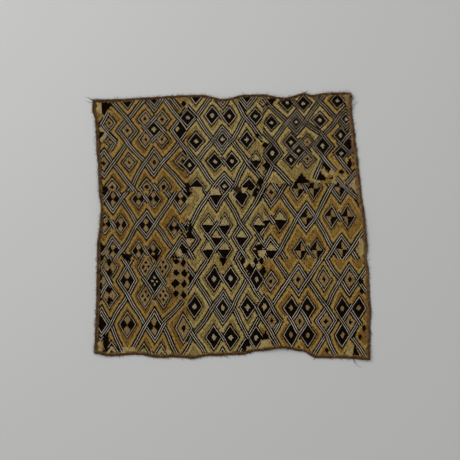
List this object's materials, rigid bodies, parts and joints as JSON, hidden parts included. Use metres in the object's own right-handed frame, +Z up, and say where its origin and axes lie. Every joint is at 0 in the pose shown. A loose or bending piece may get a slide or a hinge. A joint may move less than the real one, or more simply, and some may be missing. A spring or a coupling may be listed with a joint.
{
  "type": "kuba raffia cloth",
  "caption": "Square cut-pile raffia cloth panel with an interlaced diamond pattern and a rolled hem, lying flat with its face up.",
  "frame": {"origin": "middle of the panel's bounding box, on the surface that it lies on", "axes": "+Z up out of the pile face, +X along the top side to the right and +Y towards the top side, as the panel is seen face on"},
  "size_m": [0.6128, 0.5874, 0.0089],
  "materials": {
    "raffia": "plain-woven raffia palm fibre with cut pile and stem stitch in gold, straw, brown and black"
  },
  "bodies": {
    "root": {"cloth": "raffia"}
  },
  "joints": []
}
